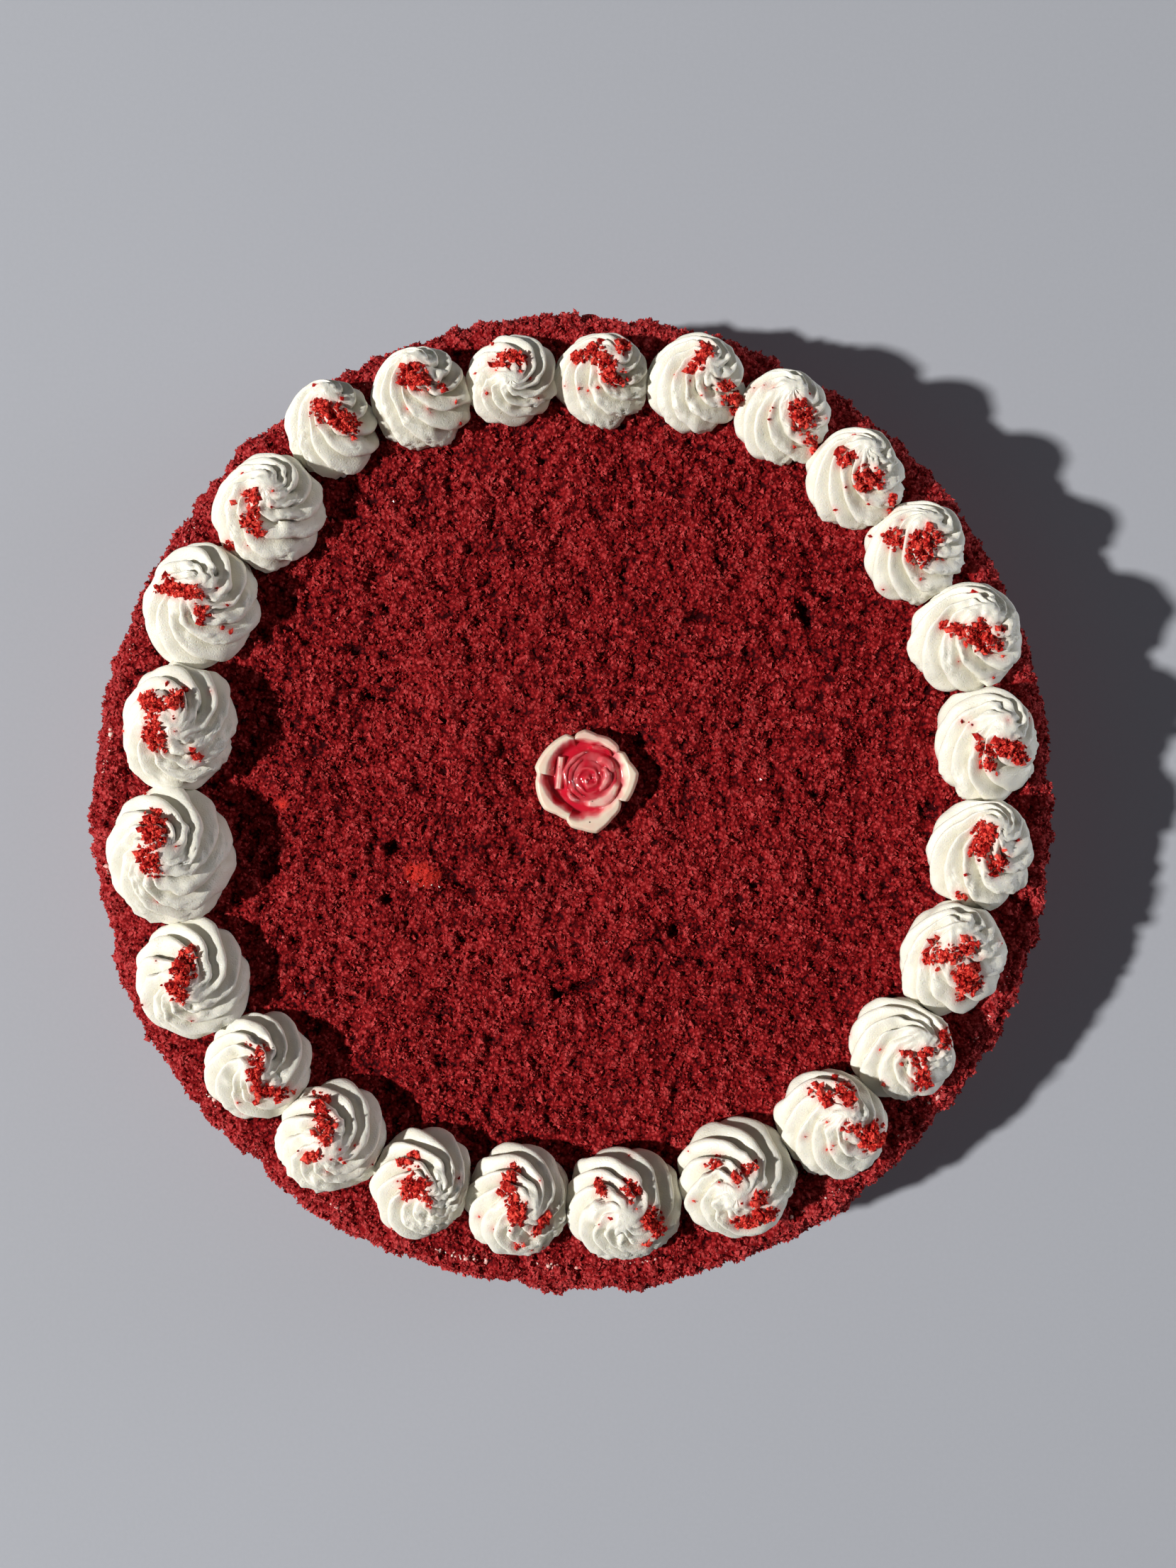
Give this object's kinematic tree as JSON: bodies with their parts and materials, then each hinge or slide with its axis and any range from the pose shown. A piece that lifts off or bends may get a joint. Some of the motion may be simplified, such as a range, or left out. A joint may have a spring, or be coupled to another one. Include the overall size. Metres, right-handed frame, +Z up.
{
  "type": "red velvet cake",
  "caption": "Round red velvet cake coated in red crumbs, with a ring of piped cream swirls round the edge and a moulded rose in the middle.",
  "frame": {"origin": "middle of the flat underside of the cake", "axes": "+Z up, +X to the right and +Y away from a person who looks down on the cake as the picture does"},
  "size_m": [0.2676, 0.2718, 0.0672],
  "materials": {
    "crumb": "dry, coarse red sponge crumbs",
    "cream": "soft satin whipped cream",
    "rose": "smooth moulded confectionery with a glossy red glaze in its hollows"
  },
  "bodies": {
    "root": {"cake": "crumb", "swirl_01": "cream", "swirl_02": "cream", "swirl_03": "cream", "swirl_04": "cream", "swirl_05": "cream", "swirl_06": "cream", "swirl_07": "cream", "swirl_08": "cream", "swirl_09": "cream", "swirl_10": "cream", "swirl_11": "cream", "swirl_12": "cream", "swirl_13": "cream", "swirl_14": "cream", "swirl_15": "cream", "swirl_16": "cream", "swirl_17": "cream", "swirl_18": "cream", "swirl_19": "cream", "swirl_20": "cream", "swirl_21": "cream", "swirl_22": "cream", "swirl_23": "cream", "swirl_24": "cream", "swirl_25": "cream", "rose": "rose"}
  },
  "joints": []
}
